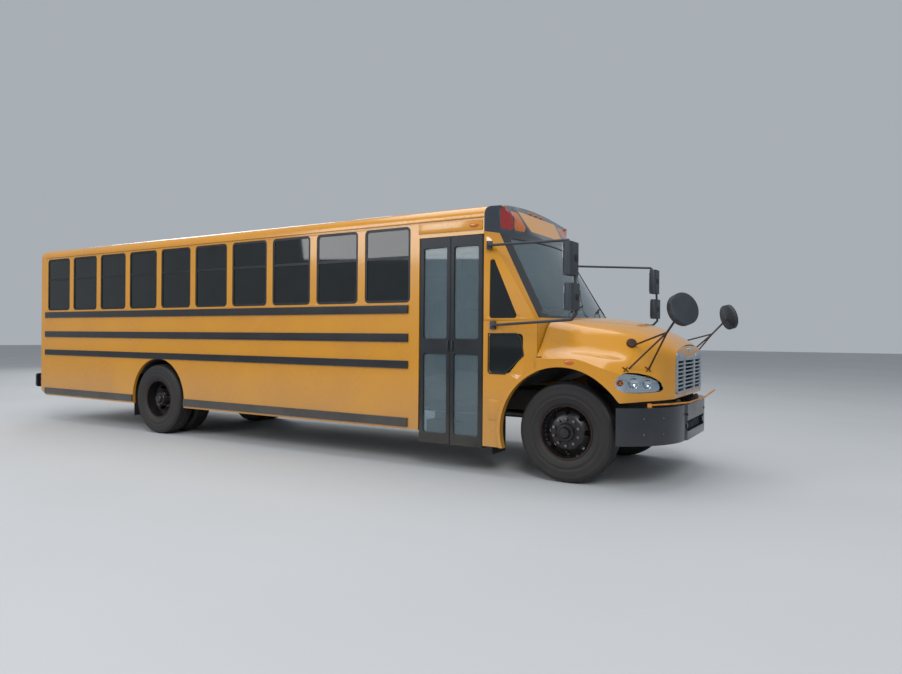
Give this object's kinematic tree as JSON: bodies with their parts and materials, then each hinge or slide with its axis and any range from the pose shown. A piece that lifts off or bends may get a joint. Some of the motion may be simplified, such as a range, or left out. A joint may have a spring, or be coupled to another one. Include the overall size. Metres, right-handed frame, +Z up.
{
  "type": "school bus",
  "caption": "Conventional school bus with tilting bonnet, steered front wheels, dual rear wheels, folding entrance door, emergency exits, stop arm and crossing arm.",
  "frame": {"origin": "middle of the bounding box's bottom face, on the ground", "axes": "+X forward, +Z up, the entrance door on the right at -Y"},
  "size_m": [11.4249, 3.36, 3.1603],
  "materials": {
    "arm_paint": "yellow orange rod",
    "black_paint": "glossy black paint",
    "bumper": "satin black steel",
    "cap_paint": "glossy dark grey paint",
    "chassis": "matt black chassis paint",
    "dark_glass": "dark tinted glass",
    "engine": "painted castings",
    "floor_rubber": "ribbed floor rubber",
    "frame_black": "black anodised",
    "glass": "clear tinted glass",
    "grille": "silver grey plastic",
    "lens": "clear lens over chrome reflectors",
    "lid": "white moulded plastic",
    "mirror_shell": "dark grey plastic",
    "paint": "glossy yellow paint",
    "red": "red sign face",
    "steel": "bare steel",
    "tail_lens": "red and amber tail lamp lenses",
    "tyre": "black tyre rubber",
    "vinyl": "dark vinyl",
    "warning_lens": "red and amber lamp lenses",
    "wheel": "black painted steel"
  },
  "bodies": {
    "body": {"wall_right": "paint", "wall_left": "paint", "roof": "paint", "rear_cap": "paint", "floor": "floor_rubber", "wheel_houses": "chassis", "stepwell": "floor_rubber", "cowl_sides": "paint", "bulkhead": "chassis", "cab_nose": "paint", "windshield": "glass", "front_cap": "cap_paint", "window_frames": "frame_black", "window_glass": "dark_glass", "rub_rails": "black_paint", "chassis_frame": "chassis", "bumpers": "bumper", "mud_flaps": "tyre", "warning_lamps": "warning_lens", "tail_lamps": "tail_lens", "front_axle": "chassis", "springs": "chassis", "rear_axle": "chassis", "engine": "engine", "radiator": "chassis", "propeller_shaft": "steel", "fuel_tank": "chassis", "exhaust": "steel", "seat_frames": "steel", "seat_cushions": "vinyl", "seat_backs": "vinyl", "driver_seat": "vinyl", "steering_wheel": "mirror_shell", "brackets": "chassis", "side_mirrors": "mirror_shell"},
    "hood": {"hood": "paint", "grille": "grille", "headlights": "lens", "crossover_mirrors": "mirror_shell"},
    "knuckle_right": {"knuckle_right": "chassis"},
    "knuckle_left": {"knuckle_left": "chassis"},
    "track_rod": {"track_rod": "chassis"},
    "wheel_front_right": {"wheel_front_right": "wheel", "tyre_front_right": "tyre"},
    "wheel_front_left": {"wheel_front_left": "wheel", "tyre_front_left": "tyre"},
    "wheels_rear_right": {"wheels_rear_right": "wheel", "tyres_rear_right": "tyre"},
    "wheels_rear_left": {"wheels_rear_left": "wheel", "tyres_rear_left": "tyre"},
    "door_front": {"door_front_leaf": "frame_black", "door_front_glass": "glass"},
    "door_rear": {"door_rear_leaf": "frame_black", "door_rear_glass": "glass"},
    "emergency_door": {"emergency_door": "paint", "emergency_glass": "dark_glass"},
    "hatch_front": {"hatch_front": "lid"},
    "hatch_rear": {"hatch_rear": "lid"},
    "stop_arm": {"stop_arm": "red"},
    "crossing_arm": {"crossing_arm": "arm_paint"}
  },
  "joints": [
    {"name": "hood_tilt", "type": "hinge", "parent": "body", "child": "hood", "pos_m": [5.3675, 0, 0.866], "axis": [0, 1, 0], "range_deg": [0, 55]},
    {"name": "steer_right", "type": "hinge", "parent": "body", "child": "knuckle_right", "pos_m": [4.3675, -0.76, 0.53], "axis": [0, 0, 1], "range_deg": [-38, 38]},
    {"name": "steer_left", "type": "hinge", "parent": "body", "child": "knuckle_left", "pos_m": [4.3675, 0.76, 0.53], "axis": [0, 0, 1], "range_deg": [-38, 38]},
    {"name": "track_rod_pivot", "type": "hinge", "parent": "knuckle_right", "child": "track_rod", "pos_m": [4.1375, -0.76, 0.265], "axis": [0, 0, 1], "range_deg": [-38, 38]},
    {"name": "spin_front_right", "type": "hinge", "parent": "knuckle_right", "child": "wheel_front_right", "pos_m": [4.3675, -0.97, 0.53], "axis": [0, 1, 0], "continuous": true},
    {"name": "spin_front_left", "type": "hinge", "parent": "knuckle_left", "child": "wheel_front_left", "pos_m": [4.3675, 0.97, 0.53], "axis": [0, 1, 0], "continuous": true},
    {"name": "spin_rear_right", "type": "hinge", "parent": "body", "child": "wheels_rear_right", "pos_m": [-2.2125, -0.92, 0.53], "axis": [0, 1, 0], "continuous": true},
    {"name": "spin_rear_left", "type": "hinge", "parent": "body", "child": "wheels_rear_left", "pos_m": [-2.2125, 0.92, 0.53], "axis": [0, 1, 0], "continuous": true},
    {"name": "door_front_swing", "type": "hinge", "parent": "body", "child": "door_front", "pos_m": [3.4265, -1.199, 2.65], "axis": [0, 0, 1], "range_deg": [0, 90]},
    {"name": "door_rear_swing", "type": "hinge", "parent": "body", "child": "door_rear", "pos_m": [2.6195, -1.199, 2.65], "axis": [0, 0, 1], "range_deg": [-90, 0]},
    {"name": "emergency_swing", "type": "hinge", "parent": "body", "child": "emergency_door", "pos_m": [-5.5965, -0.48, 1.85], "axis": [0, 0, 1], "range_deg": [0, 105]},
    {"name": "hatch_front_lift", "type": "hinge", "parent": "body", "child": "hatch_front", "pos_m": [1.5785, 0, 3.124], "axis": [0, 1, 0], "range_deg": [0, 75]},
    {"name": "hatch_rear_lift", "type": "hinge", "parent": "body", "child": "hatch_rear", "pos_m": [-3.1415, 0, 3.124], "axis": [0, 1, 0], "range_deg": [0, 75]},
    {"name": "stop_arm_swing", "type": "hinge", "parent": "body", "child": "stop_arm", "pos_m": [3.2715, 1.269, 1.675], "axis": [0, 0, -1], "range_deg": [0, 90]},
    {"name": "crossing_arm_swing", "type": "hinge", "parent": "body", "child": "crossing_arm", "pos_m": [5.2175, -1.01, 0.85], "axis": [0, 0, -1], "range_deg": [0, 95]}
  ],
  "couplings": [
    {"joint": "steer_left", "follows": "steer_right", "ratio": 1},
    {"joint": "track_rod_pivot", "follows": "steer_right", "ratio": -1},
    {"joint": "door_rear_swing", "follows": "door_front_swing", "ratio": -1}
  ]
}
